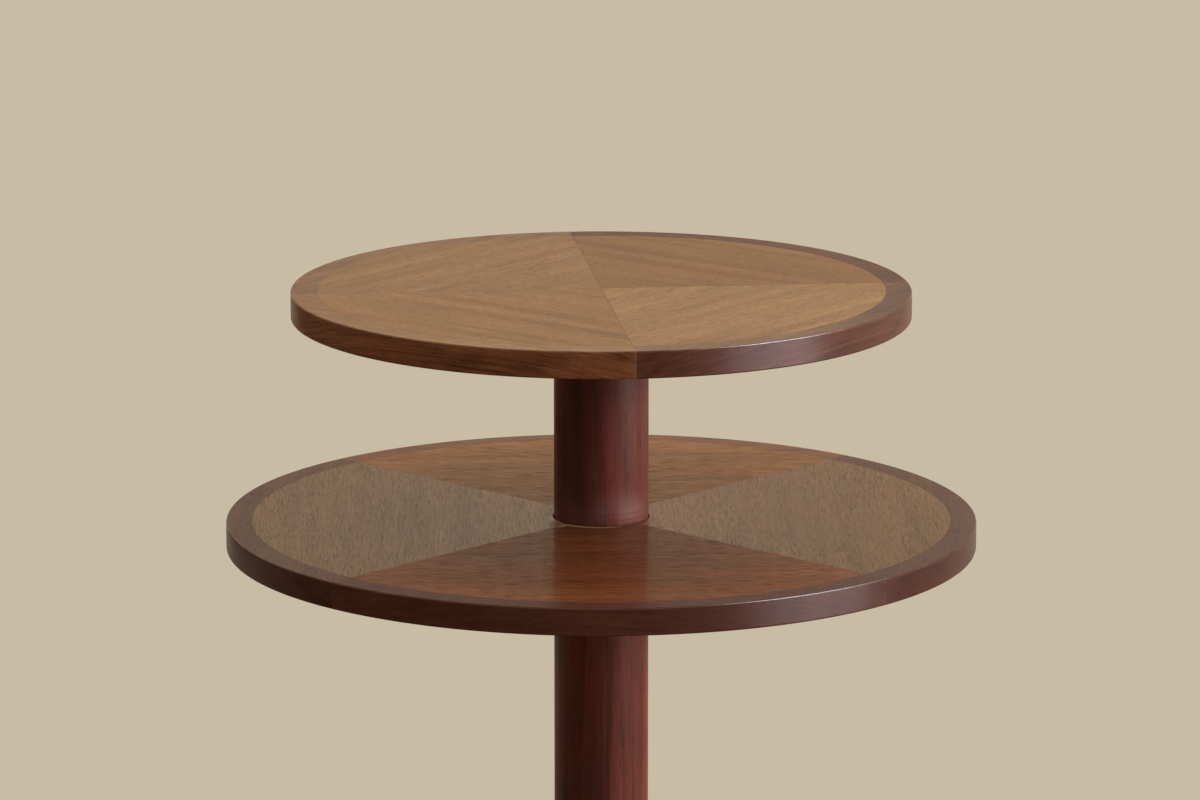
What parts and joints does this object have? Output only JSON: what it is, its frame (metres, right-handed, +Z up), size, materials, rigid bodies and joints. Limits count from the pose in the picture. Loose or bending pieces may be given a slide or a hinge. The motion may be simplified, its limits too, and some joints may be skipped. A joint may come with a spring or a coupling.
{
  "type": "tiered side table",
  "caption": "Round mahogany side table: a fixed upper tier on a plain column, and a wider lower tier that turns round it, with quartered veneer and solid rims.",
  "frame": {"origin": "on the floor, at the column's axis", "axes": "+Z up along the column; the upper tier's seams on X and Y; -Y is the front"},
  "size_m": [0.73, 0.73, 0.7],
  "materials": {
    "rim_mahogany": "polished, semi-gloss",
    "veneer_mahogany": "quartered veneer, polished, semi-gloss",
    "column_mahogany": "polished, semi-gloss",
    "core_board": "bare board",
    "counter_veneer": "sealed, matt",
    "block_hardwood": "stained, satin",
    "foot_hardwood": "stained, matt",
    "thrust_brass": "turned",
    "rod_steel": "bright zinc",
    "screw_steel": "bright zinc"
  },
  "bodies": {
    "stand": {"base_clamp_plate": "rod_steel", "base_core": "core_board", "base_counter_veneer": "counter_veneer", "base_plate_screws": "screw_steel", "base_rim_back_left": "rim_mahogany", "base_rim_back_right": "rim_mahogany", "base_rim_front_left": "rim_mahogany", "base_rim_front_right": "rim_mahogany", "base_veneer_back_left": "veneer_mahogany", "base_veneer_back_right": "veneer_mahogany", "base_veneer_front_left": "veneer_mahogany", "base_veneer_front_right": "veneer_mahogany", "boss_screws": "screw_steel", "collar_screws": "screw_steel", "column": "column_mahogany", "foot_back": "foot_hardwood", "foot_front": "foot_hardwood", "foot_left": "foot_hardwood", "foot_right": "foot_hardwood", "foot_screws": "screw_steel", "rod_nut": "rod_steel", "rod_washer": "rod_steel", "support_collar": "block_hardwood", "thrust_ring": "thrust_brass", "tie_rod": "rod_steel", "upper_boss": "block_hardwood", "upper_clamp_plate": "rod_steel", "upper_core": "core_board", "upper_counter_veneer": "counter_veneer", "upper_plate_screws": "screw_steel", "upper_rim_back_left": "rim_mahogany", "upper_rim_back_right": "rim_mahogany", "upper_rim_front_left": "rim_mahogany", "upper_rim_front_right": "rim_mahogany", "upper_veneer_back_left": "veneer_mahogany", "upper_veneer_back_right": "veneer_mahogany", "upper_veneer_front_left": "veneer_mahogany", "upper_veneer_front_right": "veneer_mahogany"},
    "lower_tier": {"lower_core": "core_board", "lower_counter_veneer": "counter_veneer", "lower_hub": "block_hardwood", "lower_rim_back": "rim_mahogany", "lower_rim_front": "rim_mahogany", "lower_rim_left": "rim_mahogany", "lower_rim_right": "rim_mahogany", "lower_veneer_back": "veneer_mahogany", "lower_veneer_front": "veneer_mahogany", "lower_veneer_left": "veneer_mahogany", "lower_veneer_right": "veneer_mahogany", "hub_screws": "screw_steel"}
  },
  "joints": [
    {"name": "lower_tier_turn", "type": "hinge", "parent": "stand", "child": "lower_tier", "pos_m": [0, 0, 0.448], "axis": [0, 0, 1], "continuous": true}
  ]
}
